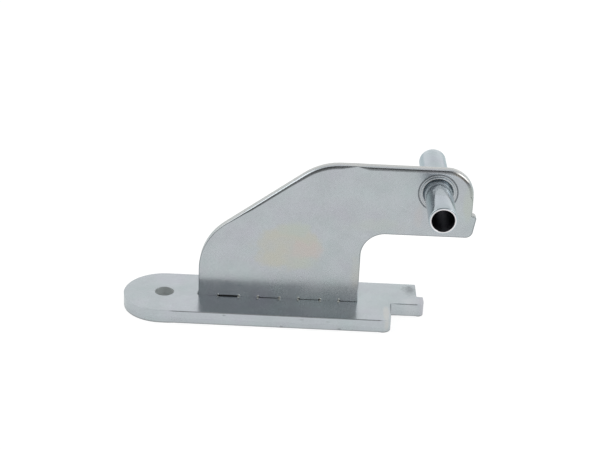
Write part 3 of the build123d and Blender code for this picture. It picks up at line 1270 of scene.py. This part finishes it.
# %% [markdown]
# ## Floor and studio
#
# The hinge stands on a plain pale floor under soft light. Metal shows its surroundings, so the room
# matters as much as the lamps: it is white at the back, a little less bright above, and dim on the
# camera's side, where the rolled edges then show as dark lines. The floor is white to the camera
# and pale in the metal, a little darker behind the hinge. It lies a hair under the base plate, so
# that the two faces don't coincide.

# %% Floor
floor_level = -0.02 * MM
floor_half = 4.0
floor_data = bpy.data.meshes.new("floor")
floor_sides = ((-1, -1), (1, -1), (1, 1), (-1, 1))
floor_corners = [(x * floor_half, y * floor_half, floor_level) for x, y in floor_sides]
floor_data.from_pydata(floor_corners, [], [(0, 1, 2, 3)])
floor = new_object("floor", floor_data)


def floor_material():
    """A matt floor: white where the camera sees it, an even pale grey in the metal."""
    material = bpy.data.materials.new("pale_floor")
    material.use_nodes = True
    tree = material.node_tree
    tree.nodes.remove(tree.nodes["Principled BSDF"])
    output = tree.nodes["Material Output"]
    rays = put(tree, "ShaderNodeLightPath").outputs
    camera_ray, glossy_ray = rays["Is Camera Ray"], rays["Is Glossy Ray"]
    matt = put(tree, "ShaderNodeBsdfDiffuse")
    under_glossy = lay(tree, glossy_ray, grey(0.8), grey(0.15))
    feed(tree, matt.inputs["Color"], lay(tree, camera_ray, under_glossy, grey(0.3)))
    behind = span(tree, axes(tree, put(tree, "ShaderNodeTexCoord").outputs["Object"])["Y"], 0.02, 0.09)
    in_metal = lay(tree, behind, grey(1.0), (0.82, 0.91, 0.93, 1))
    glow = put(tree, "ShaderNodeEmission", {"Color": lay(tree, camera_ray, in_metal, grey(1.0))})
    strengths = [calc(tree, "MULTIPLY", camera_ray, 0.85), calc(tree, "MULTIPLY", glossy_ray, 0.68)]
    feed(tree, glow.inputs["Strength"], calc(tree, "ADD", *strengths))
    both = put(tree, "ShaderNodeAddShader", {0: matt.outputs[0], 1: glow.outputs[0]})
    feed(tree, output.inputs["Surface"], both.outputs[0])
    return material


floor_data.materials.append(floor_material())
print("Floor", 2 * floor_half, "m wide")

# %% [markdown]
# ## Room and lamps
#
# The world is a function of direction only. Each span works on one part of a unit vector, so 0.7 up
# means 44 degrees above the horizon, and the camera is on the side where Y is negative. The back is
# white at the horizon, dimmer higher up and to the sides. The camera's side is dim, a little lighter
# towards the right, and dark above the camera and at the far right. Two soft boxes stand at the
# sides, and a narrow one in front draws the bright streak along the pin.

# %% Room
white_back = 1.0
upper_back = 0.8
dimmer_aside = 0.9
dim_front = 0.54
dark_above = 0.08
dark_left = 0.4
dark_aside = 0.35

world = bpy.data.worlds.new("studio")
bpy.context.scene.world = world
world.use_nodes = True
room = world.node_tree
backdrop = room.nodes["Background"]
backdrop.inputs["Color"].default_value = grey(1.0)
toward = axes(room, put(room, "ShaderNodeTexCoord").outputs["Generated"])
back = span(room, toward["Z"], 0.15, 0.42, white_back, upper_back)
aside = calc(room, "ABSOLUTE", toward["X"])
back = calc(room, "MULTIPLY", back, span(room, aside, 0.2, 0.4, 1.0, dimmer_aside))
high = span(room, toward["Z"], 0.7, 0.85)
overhead = calc(room, "MULTIPLY", high, span(room, toward["Y"], -0.42, -0.17, 1.0, 0.0))
darkest = span(room, toward["X"], -0.6, -0.4, dark_left, dark_above)
back = calc(room, "MULTIPLY", back, span(room, overhead, 0.0, 1.0, 1.0, darkest))
to_right = span(room, toward["X"], -0.35, 0.2, 0.5, 1.2)
to_right = calc(room, "MULTIPLY", to_right, span(room, toward["X"], 0.42, 0.55, 1.0, dark_aside))
front = calc(room, "MULTIPLY", to_right, span(room, toward["Z"], 0.46, 0.6, dim_front, darkest))
camera_side = span(room, toward["Y"], -0.5, -0.3, 1.0, 0.0)
glow = add(room, back, camera_side, calc(room, "SUBTRACT", front, back))
seen = put(room, "ShaderNodeLightPath").outputs["Is Camera Ray"]
feed(room, backdrop.inputs["Strength"], calc(room, "MAXIMUM", glow, seen))
print("Room light from", dark_above, "to", white_back)


# %% Soft boxes
def soft_box(name, direction, distance, side, brightness):
    """A square area lamp that faces the hinge; its power gives that brightness over its area."""
    data = bpy.data.lights.new(name, "AREA")
    data.size = side
    data.energy = brightness * math.pi * side * side
    lamp = new_object(name, data)
    toward_lamp = Vector(direction).normalized()
    lamp.location = hinge_middle + toward_lamp * distance
    lamp.rotation_euler = toward_lamp.to_track_quat("Z", "Y").to_euler()
    return lamp


hinge_middle = (cad_low + cad_high) / 2
soft_boxes = [
    soft_box("left_box", (-0.77, -0.05, 0.63), 0.8, 0.45, 1.3),
    soft_box("right_box", (0.74, -0.42, 0.5), 0.8, 0.4, 1.6),
    soft_box("streak_box", (0.38, -0.91, 0.14), 0.9, 0.14, 2.6),
]
print("Soft boxes:", ", ".join(f"{lamp.name} {lamp.data.energy:.2f} W" for lamp in soft_boxes))

# %% [markdown]
# ## View transform
#
# The dressed hinge has to be as large as the solids. This last cell sets the Standard view transform.

# %% Set the view transform
bpy.context.scene.view_settings.view_transform = "Standard"
